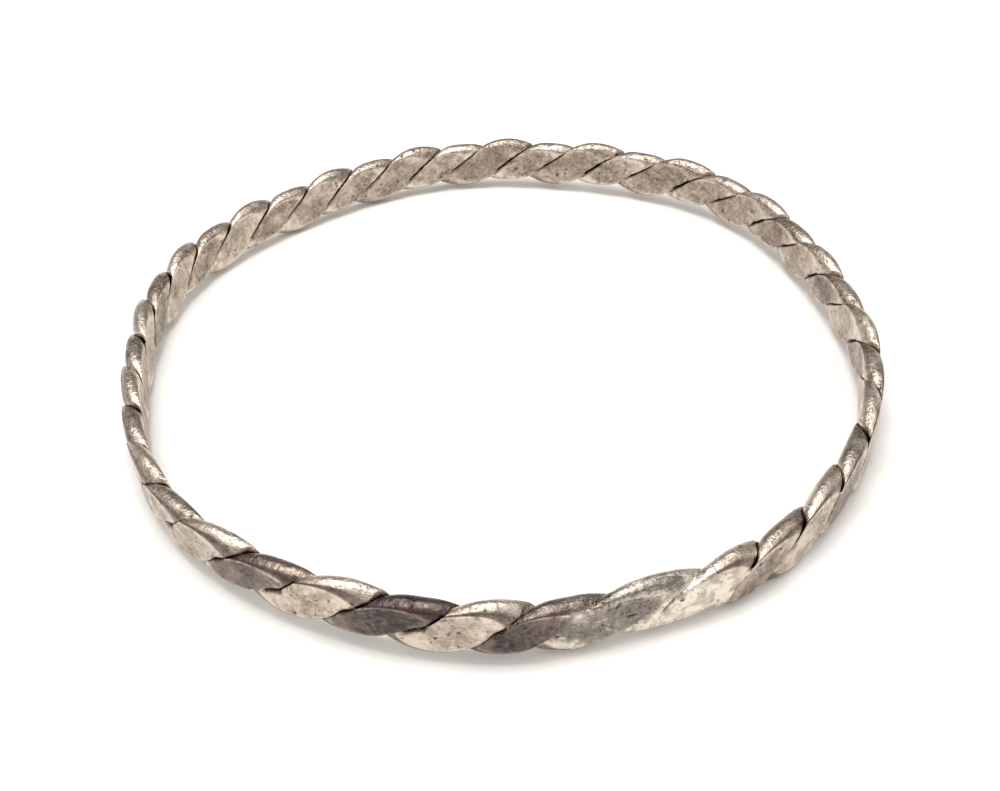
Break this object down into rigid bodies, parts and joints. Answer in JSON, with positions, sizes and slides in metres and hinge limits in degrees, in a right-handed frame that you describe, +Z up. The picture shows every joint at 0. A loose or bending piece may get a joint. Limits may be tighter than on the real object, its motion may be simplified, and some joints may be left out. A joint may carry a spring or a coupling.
{
  "type": "twisted wire bangle",
  "caption": "Rigid closed bangle of round silver wires twisted together, hammered flat on the inner and outer faces and soldered into a ring.",
  "frame": {"origin": "middle of the wrist opening, on the surface that the bangle lies on", "axes": "+Z up, along the axis of the wrist opening; the solder joint is on the -Y side, towards +X"},
  "size_m": [0.067, 0.0689, 0.0061],
  "materials": {
    "light_silver": "hammered silver, worn bright on its high places, with a brownish tarnish in its pits",
    "dark_silver": "hammered silver under a dark grey and mauve tarnish",
    "solder_silver": "silver solder, filed and scratched, with a greenish grey tarnish"
  },
  "bodies": {
    "root": {"thick_strand": "light_silver", "thin_strand": "dark_silver", "solder_joint": "solder_silver"}
  },
  "joints": []
}
